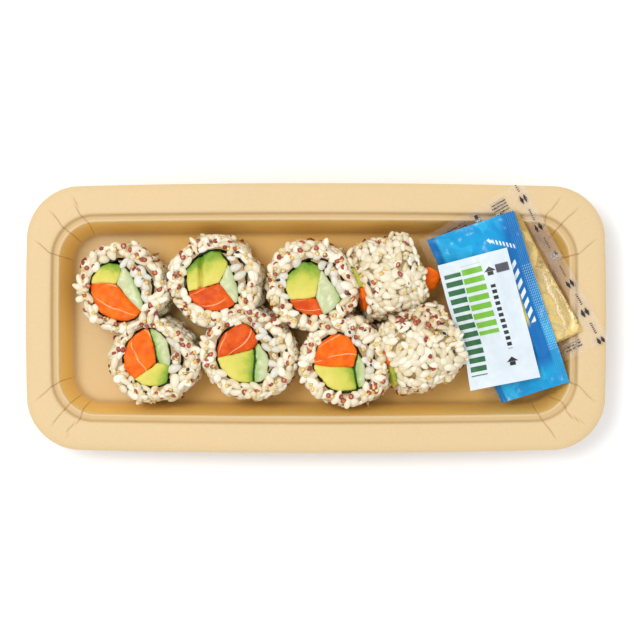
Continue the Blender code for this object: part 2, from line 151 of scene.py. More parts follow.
def add_values(obj, name, values):
    """Keeps one number for each vertex, for a material to read."""
    made = obj.data.attributes.new(name, "FLOAT", "POINT")
    made.data.foreach_set("value", np.asarray(values, np.float32))


def clouds(size):
    """A soft noise for pushing a surface in and out."""
    name = f"clouds {size / MM:.1f}"
    if name in bpy.data.textures:
        return bpy.data.textures[name]
    made = bpy.data.textures.new(name, "CLOUDS")
    made.noise_scale = size
    made.noise_depth = 3
    return made


# Materials


def shade(red, green, blue):
    """A colour read off the photograph, 0 to 255, as the linear colour that Blender wants."""
    parts = (part / 255 for part in (red, green, blue))
    return (*(part / 12.92 if part < 0.0404 else ((part + 0.055) / 1.055) ** 2.4 for part in parts), 1)


class Finish:
    """One material, put together node by node."""

    def __init__(self, name, roughness, specular, coat=None):
        self.material = bpy.data.materials.new(name)
        self.material.use_nodes = True
        self.tree = self.material.node_tree
        self.shader = self.tree.nodes["Principled BSDF"]
        self.set(Roughness=roughness, Specular_IOR_Level=specular)
        if coat:
            self.set(Coat_Weight=coat[0], Coat_Roughness=coat[1])

    def set(self, **values):
        for name, value in values.items():
            self.put(self.shader.inputs[name.replace("_", " ")], value)

    def put(self, socket, value):
        if isinstance(value, bpy.types.NodeSocket):
            self.tree.links.new(value, socket)
        else:
            socket.default_value = value

    def node(self, kind, *inputs, **settings):
        made = self.tree.nodes.new("ShaderNode" + kind)
        for name, value in settings.items():
            setattr(made, name, value)
        for socket, value in zip(made.inputs, inputs):
            if value is not None:
                self.put(socket, value)
        return made

    def place(self):
        return self.node("TexCoord").outputs["Object"]

    def uv(self):
        """Across and along, as laid on the piece."""
        split = self.node("SeparateXYZ", self.node("TexCoord").outputs["UV"])
        return split.outputs[0], split.outputs[1]

    def soften(self, share, depth, spread):
        """Lets light into the surface: how much, how deep, and how far red, green and blue spread."""
        self.set(Subsurface_Weight=share, Subsurface_Scale=depth, Subsurface_Radius=spread)

    def attribute(self, name):
        return self.node("Attribute", attribute_name=name).outputs["Fac"]

    def sum(self, operation, a, b=0.0, c=0.0):
        return self.node("Math", a, b, c, operation=operation, use_clamp=False).outputs[0]

    def noise(self, size, detail=3.0, roughness=0.55):
        """Soft noise from 0 to 1, with spots of about that size."""
        made = self.node("TexNoise", self.place())
        made.inputs["Scale"].default_value = 1 / size
        made.inputs["Detail"].default_value = detail
        made.inputs["Roughness"].default_value = roughness
        return made.outputs["Fac"]

    def between(self, value, low, high, soft=0.01):
        """1 where the value lies from low to high, with soft edges, else 0."""
        rising = self.step(value, low, soft)
        falling = self.step(value, high, soft)
        return self.sum("SUBTRACT", rising, falling)

    def step(self, value, at, soft=0.01):
        """0 below a value and 1 above it, with a soft edge."""
        made = self.node("MapRange", value, interpolation_type="SMOOTHSTEP")
        made.inputs["From Min"].default_value = at - soft / 2
        made.inputs["From Max"].default_value = at + soft / 2
        return made.outputs["Result"]

    def both(self, *masks):
        """Where all of the masks are."""
        common = masks[0]
        for mask in masks[1:]:
            common = self.times(common, mask)
        return common

    def either(self, *masks):
        """Where any of the masks is."""
        covered = masks[0]
        for mask in masks[1:]:
            covered = self.sum("MAXIMUM", covered, mask)
        return covered

    def mix(self, share, below, above):
        """Lays one colour over another where share is 1."""
        made = self.tree.nodes.new("ShaderNodeMix")
        made.data_type = "RGBA"
        for index, value in ((0, share), (6, below), (7, above)):
            self.put(made.inputs[index], value)
        return made.outputs[2]

    def times(self, value, factor, more=0.0):
        """The value times the factor, and something more."""
        return self.sum("MULTIPLY_ADD", value, factor, more)

    def off(self, value, place):
        """How far a value lies from a place."""
        return self.sum("ABSOLUTE", self.sum("SUBTRACT", value, place))

    def tinge(self, colour, mask, share, above):
        """Lays a share of one colour over another where the mask is 1."""
        return self.mix(self.times(mask, share), colour, above)

    def less(self, mask):
        """1 less a mask, so where it isn't."""
        return self.sum("SUBTRACT", 1.0, mask)

    def bump(self, height, depth, normal=None):
        made = self.node("Bump")
        made.inputs["Distance"].default_value = depth
        self.put(made.inputs["Height"], height)
        if normal:
            self.put(made.inputs["Normal"], normal)
        self.set(Normal=made.outputs[0])
        return made.outputs[0]


def board_finish():
    """Kraft-coloured pressed pulp: fine fibre, a soft sheen, and painted shade: a deeper tone on the walls,
    over the floor but for its left end, in the groove and along the creases.
    """
    made = Finish("Pressed board", 0.55, 0.3)
    fibre = made.noise(0.8 * MM, 4)
    cloud = made.noise(16 * MM, 2)
    rim = made.mix(fibre, shade(205, 178, 134), shade(216, 191, 149))
    # Painted shade: the walls take a deeper, more saturated tone than the rim
    wall = made.mix(fibre, shade(252, 200, 98), shade(255, 212, 118))
    colour = made.mix(made.attribute("wall"), rim, wall)
    # Painted shade: the floor is pale at its left end and a deeper gold further right, where the rolls and
    # walls shade it
    from_left = made.node("SeparateXYZ", made.place()).outputs[0]
    floor = made.mix(made.step(from_left, -76 * MM, 40 * MM), shade(226, 200, 152), shade(228, 184, 104))
    colour = made.mix(made.attribute("floor"), colour, floor)
    colour = made.tinge(colour, cloud, 0.3, shade(226, 190, 128))
    # Painted shade: the groove below the rim is darkened
    colour = made.tinge(colour, made.attribute("groove"), 0.3, shade(190, 150, 84))
    # Painted shade: the pressed-in creases are also darkened along their lines
    made.set(Base_Color=made.tinge(colour, made.attribute("crease"), 0.4, shade(136, 92, 42)))
    grain = made.bump(fibre, 0.12 * MM)
    made.bump(made.noise(6 * MM, 2), 0.2 * MM, grain)
    return made.material


def rice_finish(name, dark, light):
    """Cooked rice: moist, a little see-through, each grain of its own shade."""
    made = Finish(name, 0.34, 0.5)
    made.soften(0.15, 0.9 * MM, (1.0, 0.8, 0.6))
    fleck = made.noise(1.2 * MM, 2)
    colour = made.mix(made.attribute("tint"), dark, light)
    colour = made.tinge(colour, made.attribute("inside"), 0.55, shade(196, 202, 202))
    made.set(Base_Color=made.tinge(colour, fleck, 0.35, shade(214, 192, 136)))
    made.bump(fleck, 0.15 * MM)
    return made.material


def seed_finish(name, ring, middle):
    """A cooked seed: a darker ring round a paler middle."""
    made = Finish(name, 0.3, 0.5, coat=(0.3, 0.2))
    colour = made.mix(made.attribute("ring"), middle, ring)
    made.set(Base_Color=made.mix(made.attribute("tint"), colour, ring))
    return made.material


def nori_finish():
    """Pressed seaweed: near black with a green cast, fibrous and slightly moist."""
    made = Finish("Nori", 0.42, 0.5)
    fibre = made.noise(0.9 * MM, 5, 0.7)
    made.set(Base_Color=made.mix(fibre, shade(12, 16, 14), shade(40, 48, 36)))
    made.bump(fibre, 0.3 * MM)
    return made.material


def salmon_finish(number, deep, bright):
    """Raw fish: orange flesh in leaves, with pale fat between them."""
    made = Finish(f"Raw salmon {number}", 0.36, 0.12)
    made.soften(0.15, 2 * MM, (1.0, 0.35, 0.15))
    across, along = made.uv()
    wander = made.noise(9 * MM, 1)
    spread = made.times(wander, 0.22, made.times(across, 0.35, along))
    leaf = made.sum("PINGPONG", made.times(spread, 1.6), 0.5)
    line = made.less(made.step(leaf, 0.025, 0.05))
    broken = made.step(made.noise(5 * MM, 1), 0.40, 0.25)
    mottle = made.noise(4 * MM, 3)
    flesh = made.mix(made.step(mottle, 0.5, 0.5), deep, bright)
    made.set(Base_Color=made.tinge(flesh, made.both(line, broken), 0.75, shade(250, 190, 136)))
    made.bump(made.times(line, 0.4, mottle), 0.25 * MM)
    return made.material


def avocado_finish():
    """Ripe flesh, yellow inside and green towards the skin."""
    made = Finish("Avocado flesh", 0.45, 0.25)
    made.soften(0.12, 1.5 * MM, (0.7, 1.0, 0.3))
    _, along = made.uv()
    wander = made.noise(5 * MM, 3)
    depth = made.times(made.sum("SUBTRACT", wander, 0.5), 0.5, along)
    colour = made.mix(made.step(depth, 0.45, 0.7), shade(214, 202, 96), shade(190, 190, 70))
    colour = made.mix(made.step(depth, 0.72, 0.36), colour, shade(116, 152, 34))
    colour = made.mix(made.step(depth, 0.96, 0.14), colour, shade(58, 96, 20))
    made.set(Base_Color=colour)
    made.bump(made.noise(1.6 * MM, 3), 0.25 * MM)
    return made.material


def cucumber_finish():
    """Wet pale flesh with a dark green skin on one side."""
    made = Finish("Cucumber flesh", 0.3, 0.4, coat=(0.15, 0.15))
    made.soften(0.2, 2 * MM, (0.7, 1.0, 0.5))
    _, along = made.uv()
    spot = made.noise(2.2 * MM, 2)
    depth = made.times(made.sum("SUBTRACT", spot, 0.5), 0.16, along)
    flesh = made.mix(spot, shade(176, 184, 132), shade(206, 208, 164))
    colour = made.mix(made.step(depth, 0.66, 0.4), flesh, shade(146, 174, 88))
    colour = made.mix(made.step(depth, 0.87, 0.07), colour, shade(28, 62, 20))
    made.set(Base_Color=colour)
    made.bump(spot, 0.3 * MM)
    return made.material


def bars(made, place, count, share, lean=None):
    """A row of bars: count of them from 0 to 1, each taking that share of its step."""
    steps = made.times(place, float(count))
    if lean:
        steps = made.sum("ADD", steps, lean)
    return made.between(made.sum("FRACT", steps), (1 - share) / 2, (1 + share) / 2, 0.06)


def block(made, u, v, across, along, soft_u=0.01, soft_v=0.01):
    """A plain block of print that reaches from one place to another across and along."""
    return made.both(made.between(u, *across, soft_u), made.between(v, *along, soft_v))


def arrow(made, u, v, at_u, at_v, size_u, size_v):
    """A plain arrow pointing to lower v: a triangle over a short stem."""
    side = made.off(u, at_u)
    head_width = made.times(made.sum("SUBTRACT", v, at_v - size_v), size_u / size_v)
    head = made.both(
        made.step(made.sum("SUBTRACT", head_width, side), 0.0, 0.01),
        made.between(v, at_v - size_v, at_v, 0.006),
    )
    stem = made.both(
        made.between(side, -1.0, size_u * 0.5, 0.01),
        made.between(v, at_v, at_v + size_v * 0.8, 0.006),
    )
    return made.either(head, stem)


def white_finish():
    """White coated paper, printed with plain green and black shapes.

    On every sachet u runs from 0 at the left to 1 at the right, and v from 0 at the top to 1 at the foot.
    """
    made = Finish("White sachet print", 0.45, 0.4, coat=(0.1, 0.25))
    u, v = made.uv()
    soft = made.noise(8 * MM, 2)
    colour = made.mix(soft, shade(200, 210, 217), shade(216, 225, 231))
    light_row = made.both(bars(made, v, 14.4, 0.64), block(made, u, v, (0.30, 0.585), (0.055, 0.60)))
    dark_row = made.both(bars(made, v, 14.8, 0.62), block(made, u, v, (0.05, 0.285), (0.09, 0.90)))
    dashes = made.both(bars(made, v, 22.0, 0.62), block(made, u, v, (0.64, 0.71), (0.24, 0.74)))
    arrows = made.either(*(arrow(made, u, v, *at, 0.085, 0.038) for at in ((0.682, 0.14), (0.665, 0.84))))
    patch = block(made, u, v, (0.77, 0.96), (0.10, 0.165))
    for mask, ink in (
        (light_row, shade(112, 176, 44)),
        (dark_row, shade(34, 98, 52)),
        (dashes, shade(26, 28, 28)),
        (arrows, shade(26, 28, 28)),
        (patch, shade(74, 76, 82)),
    ):
        colour = made.mix(mask, colour, ink)
    made.set(Base_Color=colour)
    made.bump(made.noise(3 * MM, 3), 0.15 * MM)
    return made.material


def blue_finish():
    """Glossy blue film: paler in the middle, darker at its seals, with plain white and yellow shapes, and
    painted highlights and painted shade on its crumpled facets.
    """
    made = Finish("Blue sachet print", 0.24, 0.3)
    u, v = made.uv()
    soft = made.noise(9 * MM, 3)
    colour = made.mix(soft, shade(0, 128, 190), shade(14, 166, 216))
    # Painted highlights on the crumpled facets, and painted shade in the creases between them
    facet = made.step(made.noise(11 * MM, 1), 0.56, 0.03)
    colour = made.tinge(colour, facet, 0.28, shade(58, 196, 234))
    crease = made.less(made.step(made.noise(7 * MM, 1), 0.40, 0.04))
    colour = made.tinge(colour, crease, 0.16, shade(0, 96, 170))
    band = made.times(made.sum("MINIMUM", v, 0.4), 0.5, made.times(soft, 0.1, u))
    off_foot = made.step(made.less(v), 0.13, 0.1)
    seal_end = made.both(made.step(u, 0.88, 0.03), made.step(v, 0.5, 0.5))
    dark = made.both(made.step(band, 0.90, 0.16), off_foot, made.less(seal_end))
    colour = made.mix(dark, colour, shade(2, 104, 174))
    right = made.step(u, 0.875, 0.015)
    colour = made.tinge(colour, made.both(right, bars(made, u, 44.0, 0.45)), 0.4, shade(88, 164, 220))
    colour = made.tinge(colour, made.between(u, -1.0, 0.085, 0.03), 0.7, shade(4, 92, 168))
    sun = block(made, u, v, (0.67, 0.742), (0.36, 0.62), 0.03, 0.06)
    colour = made.mix(sun, colour, shade(214, 196, 60))
    leaning = bars(made, v, 18.0, 0.5, made.times(u, 8.0))
    leaning = made.both(leaning, block(made, u, v, (0.755, 0.835), (0.26, 0.62)))
    slant = made.times(u, -0.28, v)
    dotted = block(made, u, slant, (0.66, 0.90), (-0.07, -0.045), 0.01, 0.006)
    dots = made.both(bars(made, u, 28.0, 0.5), dotted)
    small_arrow = arrow(made, slant, u, -0.057, 0.63, 0.016, 0.035)
    specks = made.both(bars(made, v, 70.0, 0.5), bars(made, u, 44.0, 0.4), right, made.between(v, 0.3, 0.8))
    colour = made.mix(made.either(leaning, dots, small_arrow), colour, shade(226, 234, 240))
    made.set(Base_Color=made.tinge(colour, specks, 0.5, shade(200, 226, 240)))
    crimp = made.both(made.either(right, made.between(u, -1.0, 0.10)), bars(made, u, 60.0, 0.5))
    ridge = made.bump(crimp, 0.15 * MM)
    made.bump(made.noise(4 * MM, 3), 0.3 * MM, ridge)
    return made.material


def leaf_mark(made, u, v, at_u, half):
    """A small pointed oval in the repeat of the printed strip."""
    side = made.off(u, at_u)
    end = made.off(v, 0.87)
    reach = made.times(side, 1 / half, made.times(end, 1 / 0.16))
    return made.less(made.step(reach, 1.0, 0.25))


def film_finish():
    """Clear film: see-through over the food, milky and printed with plain dark marks at its seals."""
    made = Finish("Clear film", 0.14, 0.45, coat=(0.15, 0.08))
    u, v = made.uv()
    wander = made.times(made.sum("SUBTRACT", made.noise(14 * MM, 2), 0.5), 0.05)
    middle = made.sum("ADD", u, wander)
    fin = made.step(middle, 0.875, 0.012)
    seals = made.either(fin, made.between(v, -1.0, 0.13, 0.03), made.step(v, 0.90, 0.03))
    spaced = made.sum("FRACT", made.times(v, 5.6, 0.35))
    leaves = made.either(*(leaf_mark(made, middle, spaced, at, 0.015) for at in (0.922, 0.956)))
    beads = made.both(bars(made, v, 84.0, 0.5), block(made, middle, spaced, (0.93, 0.945), (0.2, 0.6), 0.006))
    # Broken rows of bars, which stand for small print
    rows = made.both(bars(made, v, 58.0, 0.42), made.step(made.noise(0.7 * MM, 1), 0.46, 0.1))
    top_rows = made.both(rows, made.between(v, 0.028, 0.105, 0.004))
    top_rows = made.both(top_rows, made.either(made.between(u, 0.22, 0.42), made.between(u, 0.66, 0.80)))
    foot_rows = made.both(rows, block(made, u, v, (0.66, 0.80), (0.92, 0.97)))
    spot = block(made, u, v, (0.50, 0.535), (0.035, 0.075))
    marks = made.either(leaves, beads, top_rows, foot_rows, spot)
    colour = made.mix(seals, shade(240, 222, 180), shade(255, 246, 238))
    made.set(Base_Color=made.mix(marks, colour, shade(40, 22, 16)))
    see = made.times(fin, 0.04, made.times(seals, 0.02, 0.025))
    made.set(Alpha=made.sum("MAXIMUM", see, made.times(marks, 0.92)))
    crimp = made.bump(made.both(fin, bars(made, u, 90.0, 0.5)), 0.12 * MM)
    made.bump(made.noise(5 * MM, 3), 0.5 * MM, crimp)
    return made.material


def ginger_finish():
    """Slices of pickled ginger: pale gold, wet and fibrous."""
    made = Finish("Pickled ginger", 0.25, 0.5, coat=(0.4, 0.1))
    made.soften(0.3, 2 * MM, (1.0, 0.8, 0.35))
    fibre = made.noise(1.5 * MM, 4)
    made.set(Base_Color=made.mix(fibre, shade(210, 172, 82), shade(236, 207, 136)))
    made.bump(fibre, 0.3 * MM)
    return made.material


def juice_finish():
    """Ginger packed in its juice: darker and glossier than the slices on top."""
    made = Finish("Ginger in its juice", 0.18, 0.5, coat=(0.4, 0.1))
    made.soften(0.3, 3 * MM, (1.0, 0.8, 0.3))
    soft = made.noise(7 * MM, 3)
    made.set(Base_Color=made.mix(made.step(soft, 0.5, 0.4), shade(164, 127, 42), shade(216, 178, 92)))
    made.bump(made.noise(2.5 * MM, 3), 0.5 * MM)
    return made.material


# The tray


BOARD = 0.7 * MM
LONG_SIDE_BOW = 2.0 * MM
SHORT_SIDE_BOW = 1.3 * MM
LEFT_WELL = 1.5 * MM  # how much nearer the well comes to the lip at the left end
CORNER_STEPS = 150
LONG_SIDE_POINTS = 26
SHORT_SIDE_POINTS = 12
# From the floor out to the lip, in mm: distance in from the lip, drop below the rim, corner radius
TRAY_RINGS = (
    (25.5, 25.3, 9.4), (23.6, 25.3, 10.5), (22.5, 25.08, 11.3), (21.5, 24.6, 12.0), (20.9, 23.7, 12.4),
    (20.4, 22.4, 12.8), (19.3, 17.9, 13.5), (18.2, 13.4, 14.2), (17.1, 8.9, 14.9), (16.4, 6.0, 15.4),
    (16.05, 4.3, 15.6), (15.8, 3.3, 15.8), (15.45, 2.85, 16.0), (15.0, 2.75, 16.3), (14.5, 2.95, 16.6),
    (13.9, 3.0, 17.0), (13.4, 2.7, 17.3), (13.0, 2.0, 17.5), (12.7, 1.2, 17.8), (12.4, 0.55, 18.0),
    (12.0, 0.15, 18.3), (11.4, 0.0, 18.6), (9.2, 0.0, 19.2), (7.0, 0.0, 19.8), (5.0, 0.0, 20.4),
    (3.8, 0.05, 20.7), (2.6, 0.2, 21.0), (1.7, 0.45, 21.3), (0.9, 0.8, 21.6), (0.4, 1.2, 21.8),
    (0.0, 1.7, 22.0),
)
WALL_TOP, WALL_FOOT, FLOOR_EDGE = 3.6, 19.0, 25.1  # drops below the rim, in mm, where the tone changes
GROOVE = (12.5, 14.7)  # distances in from the lip, in mm, between which the groove runs, painted darker as painted shade
OUTSIDE_TONE = 0.15  # how much of the walls' deeper colour, which is painted shade, the outside has
PLEATS = ((4, 50, 72), (15, 46, 86), (8, 46, 68), (12, 47, 80))  # where each corner is creased, in degrees
PLEAT_WIDTH = 0.8  # in degrees
PLEAT_WANDER = 5  # in degrees
PLEAT_DEPTH = 0.35 * MM
PLEAT_FADES = ((23, 6), (3, 4))  # in mm: the drop and the distance in where creases end, and over what length


def bowed(x, y, half_x, half_y):
    """Moves a point of a straight-sided outline out to the tray's bowed sides."""
    out_x = SHORT_SIDE_BOW * (x / half_x) * (1 - (y / half_y) ** 2)
    out_y = LONG_SIDE_BOW * (y / half_y) * (1 - (x / half_x) ** 2)
    return x + out_x, y + out_y


def pleat_at(turn, pleat, inset):
    """How deep a wandering crease is at a place round a corner, from 0 to 1."""
    wander = PLEAT_WANDER * noise.noise(Vector((inset / MM / 5, pleat, 0.5)))
    return math.exp(-(((turn - pleat - wander) / PLEAT_WIDTH) ** 2))


def tray_outline(inset, radius, height):
    """The tray's rounded outline at one height, and how much of a crease each point has."""
    low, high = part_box("tray")
    half_x = (high.x - low.x) / 2 - SHORT_SIDE_BOW
    half_y = (high.y - low.y) / 2 - LONG_SIDE_BOW
    arcs = []
    for quarter, (way_x, way_y) in enumerate(((1, 1), (-1, 1), (-1, -1), (1, -1))):
        middle = Vector((way_x * (half_x - inset - radius), way_y * (half_y - inset - radius)))
        if way_x < 0:
            middle.x -= LEFT_WELL * held((inset / MM - 4) / 8)
        arc = []
        for step in range(CORNER_STEPS + 1):
            turn = 90 * step / CORNER_STEPS
            angle = math.radians(90 * quarter + turn)
            sharp = max(pleat_at(turn, pleat, inset) for pleat in PLEATS[quarter])
            arc.append((middle + radius * Vector((math.cos(angle), math.sin(angle))), sharp))
        arcs.append(arc)
    points = []
    for quarter, arc in enumerate(arcs):
        points += arc
        start, end = arc[-1][0], arcs[(quarter + 1) % 4][0][0]
        between = SHORT_SIDE_POINTS if quarter % 2 else LONG_SIDE_POINTS
        points += [(start.lerp(end, (n + 1) / (between + 1)), 0.0) for n in range(between)]
    return [(Vector((*bowed(*p, half_x, half_y), height)), crease) for p, crease in points]


def nearest(points, places):
    """For each point, which of the places it lies on."""
    gaps = np.linalg.norm(np.array(points)[:, None] - np.array(places)[None], axis=2)
    return gaps.argmin(axis=1)


def make_tray(finish):
    """Draws the board out from its floor, ring by ring, and creases its corners."""
    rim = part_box("tray")[1].z
    rings = [tray_outline(inset * MM, radius * MM, rim - drop * MM) for inset, drop, radius in TRAY_RINGS]
    count = len(rings[0])
    bpy.ops.object.select_all(action="DESELECT")
    bpy.ops.mesh.primitive_circle_add(vertices=count, fill_type="NGON")
    tray = bpy.context.object
    for vert, (place, _) in zip(tray.data.vertices, rings[0]):
        vert.co = place
    (lowest, fade_low), (outmost, fade_out) = PLEAT_FADES
    crease = [0.0] * count
    wall = [0.0] * count
    flat = [1.0] * count
    groove = [0.0] * count
    for (inset, drop, _), last, ring in zip(TRAY_RINGS[1:], rings, rings[1:]):
        with editing(tray):
            bpy.ops.mesh.select_non_manifold(extend=False)
            bpy.ops.mesh.extrude_edges_move()
        fresh = tray.data.vertices[-count:]
        for vert, index in zip(fresh, nearest([v.co for v in fresh], [p for p, _ in last])):
            place, sharp = ring[index]
            vert.co = place
            crease.append(sharp * held((lowest - drop) / fade_low) * held((inset - outmost) / fade_out))
            # How much of the walls' painted shade tone each vertex takes, fading out towards the floor
            foot = held((drop - WALL_FOOT) / (FLOOR_EDGE - WALL_FOOT))
            wall.append(1.0 - foot if drop > WALL_TOP else 0.0)
            flat.append(foot)
            groove.append(1.0 if GROOVE[0] < inset < GROOVE[1] else 0.0)
    with editing(tray):
        bpy.ops.mesh.normals_make_consistent(inside=False)
    if tray.data.polygons[0].normal.z < 0:
        tray.data.flip_normals()
    facing = [v.normal.copy() for v in tray.data.vertices]
    for vert, normal, sharp in zip(tray.data.vertices, facing, crease):
        vert.co -= normal * sharp * PLEAT_DEPTH
    add_values(tray, "crease", crease)
    finish_with(tray, "SOLIDIFY", thickness=BOARD, offset=-1.0, use_even_offset=True)
    under = len(tray.data.vertices) - len(wall)
    add_values(tray, "wall", wall + [OUTSIDE_TONE] * under)
    add_values(tray, "groove", groove + [0.0] * under)
    add_values(tray, "floor", flat + [0.0] * under)
    smooth(tray, 50)
    return named(tray, "tray_board", finish, "board", "tray")


# Grains, seeds and flakes


TRIES_A_SPOT = 10


def triangles_of(obj):
    """The corners of each of a mesh's triangles."""
    mesh = obj.data
    mesh.calc_loop_triangles()
    places = np.array([v.co for v in mesh.vertices])
    return places[np.array([t.vertices[:] for t in mesh.loop_triangles])]


def spread(obj, gap, seed, wanted, limit=None):
    """Random spots on a surface, at least a gap apart and where wanted agrees, and the way each faces."""
    draw = np.random.default_rng(seed)
    corners = triangles_of(obj)
    cross = np.cross(corners[:, 1] - corners[:, 0], corners[:, 2] - corners[:, 0])
    areas = np.linalg.norm(cross, axis=1) / 2
    tries = int(TRIES_A_SPOT * areas.sum() / gap**2)
    chosen = draw.choice(len(areas), tries, p=areas / areas.sum())
    a, b = draw.random((2, tries, 1))
    over = a + b > 1
    a, b = np.where(over, 1 - a, a), np.where(over, 1 - b, b)
    first = corners[chosen, 0]
    places = first + a * (corners[chosen, 1] - first) + b * (corners[chosen, 2] - first)
    cells = np.floor(places / gap).astype(int)
    taken, spots = {}, []
    for place, normal, (i, j, k) in zip(places, cross[chosen], cells.tolist()):
        around = (
            taken[key]
            for key in ((i + x, j + y, k + z) for x in (-1, 0, 1) for y in (-1, 0, 1) for z in (-1, 0, 1))
            if key in taken
        )
        if any((place[0] - q[0]) ** 2 + (place[1] - q[1]) ** 2 + (place[2] - q[2]) ** 2 < gap**2
               for group in around for q in group):
            continue
        spot = (Vector(place), Vector(normal).normalized())
        if wanted(*spot):
            taken.setdefault((i, j, k), []).append(place)
            spots.append(spot)
            if len(spots) == limit:
                break
    return spots


def joined_copies(name, shapes, spots, seed, lift, tilt, sizes):
    """One mesh of copies that lie on a surface, each turned its own way and with a tint of its own."""
    draw = np.random.default_rng(seed)
    places, faces, tints, rings, inside = [], [], [], [], []
    for n, (shape, ring) in enumerate(shapes):
        mine = spots[n :: len(shapes)]
        if not mine:
            continue
        count = len(mine)
        up = np.array([spot[1] for spot in mine])
        height = draw.uniform(lift[0], lift[1], (count, 1))
        middle = np.array([spot[0] for spot in mine]) + up * height
        up = up + draw.normal(0, tilt, (count, 3))
        up /= np.linalg.norm(up, axis=1, keepdims=True)
        along = draw.normal(size=(count, 3))
        along -= up * (along * up).sum(axis=1, keepdims=True)
        along /= np.linalg.norm(along, axis=1, keepdims=True)
        turn = np.stack((along, np.cross(up, along), up), axis=2) * draw.uniform(*sizes, (count, 1, 3))
        corners = np.array([v.co for v in shape.data.vertices])
        base = sum(len(p) for p in places)
        places.append((np.einsum("nij,vj->nvi", turn, corners) + middle[:, None]).reshape(-1, 3))
        outline = [tuple(p.vertices) for p in shape.data.polygons]
        faces += [tuple(base + c * len(corners) + v for v in face) for c in range(count) for face in outline]
        tints.append(np.repeat(draw.random(count), len(corners)))
        rings.append(np.tile(ring, count))
        inside.append(np.repeat([float(spot[2]) if len(spot) > 2 else 0.0 for spot in mine], len(corners)))
    mesh = bpy.data.meshes.new(name)
    mesh.from_pydata(np.concatenate(places).tolist(), [], faces)
    made = bpy.data.objects.new(name, mesh)
    bpy.context.scene.collection.objects.link(made)
    for label, values in (("tint", tints), ("ring", rings), ("inside", inside)):
        add_values(made, label, np.concatenate(values))
    smooth(made)
    return made


def small_shape(half, segments, rings, bend=0.0, dent=0.0):
    """A rounded grain, bent or dented, of those half sizes in mm, and how near its edge each vertex lies."""
    bpy.ops.object.select_all(action="DESELECT")
    bpy.ops.mesh.primitive_uv_sphere_add(segments=segments, ring_count=rings, radius=1)
    made = bpy.context.object
    with editing(made):
        bpy.ops.transform.rotate(value=math.pi / 2, orient_axis="Y", center_override=(0, 0, 0))
    edge = []
    for vert in made.data.vertices:
        x, y, z = vert.co
        out = min(1.0, math.hypot(x, y))
        edge.append(held((out - 0.5) / 0.22))
        height = half[2] * z * (1 - dent * (1 - out)) - bend * half[0] * x * x
        vert.co = Vector((half[0] * x, half[1] * y * (1 - 0.18 * x), height)) * MM
    return made, edge


# The rolls


ON_CUT = 0.6  # how far along its roll's axis the normal of a cut face points, at least
FILLED = 13 * MM  # how far from a roll's axis its nori and fillings reach
LUMP = 9 * MM  # how broad the lumps of the hand-pressed rice are
GRAINS_FROM = 4 * MM  # the rice below this height is out of sight and has no grains
GRAIN_GAP = 2.5 * MM
GRAIN_LIFT = (-0.75 * MM, 0.15 * MM)  # how far a grain's middle lies from the swollen surface
NORI_CLEARANCE = 0.95 * MM
INNER_RICE = 5.5 * MM  # how far in from its edge the rice on a cut face turns cooler in tone
CORE_SUNK = 0.8 * MM  # how far the core lies below that surface
SEED_GAP = 1.7 * MM
SEED_LIFT = (0.6 * MM, 1.0 * MM)
SEED_EDGE = 3.2 * MM  # how broad the edge of a cut face is that seeds cling to
SHIFT = 1.1 * MM  # how much a whole roll is pushed out of the round, and over what length
SHIFT_LENGTH = 10 * MM
SEAM = ((29.9, -6.6), (55.9, -3.1))  # where the rice coat of roll 8 meets itself, in mm in plan
SEAM_WIDTH = 1.1 * MM
SEAM_DEPTH = 3.0 * MM
SEAM_GAP = 1.1 * MM  # how far to either side of the seam no grain lies
SHOULDER = 1.8 * MM  # how much a lying roll falls away at its ends, and over what length
SHOULDER_LENGTH = 6 * MM
TRIM = 1.6 * MM  # how much shorter roll 4 is at its right end, and over what length that is taken up
TRIM_LENGTH = 8 * MM
CLUMP = Vector((15.5, 28.0, 25.0)) * MM  # where some rice sticks out of roll 4's left end
CLUMP_SIZE = 3.0 * MM
CLUMP_WIDTH = 4.5 * MM
LEFT_PUSH = 2.0 * MM  # how far the fillings of a lying roll stand out at its left end
TIP_SIDE = 6.5 * MM  # how far to the right of roll 4's axis the tip of its salmon lies
SLIT = ((-50.4, 25.4), (-51.4, 11.0))  # where the two slices of avocado in roll 2 meet, in mm in plan
SLIT_WIDTH = 0.7 * MM
SLIT_DEPTH = 3.5 * MM
MAP_STRIPS = 12
# Which way the skin of a filling faces in plan, in degrees; in a lying roll every skin faces up
SKIN_SIDES = {
    "roll_1": {"avocado": 45, "cucumber": 0, "salmon": 60},
    "roll_2": {"avocado": 90, "cucumber": 0, "salmon": 120},
    "roll_3": {"avocado": 90, "cucumber": 0, "salmon": 100},
    "roll_5": {"avocado": 0, "cucumber": 180, "salmon": 30},
    "roll_6": {"avocado": 0, "cucumber": 180, "salmon": 150},
    "roll_7": {"avocado": 0, "cucumber": 180, "salmon": 80},
}


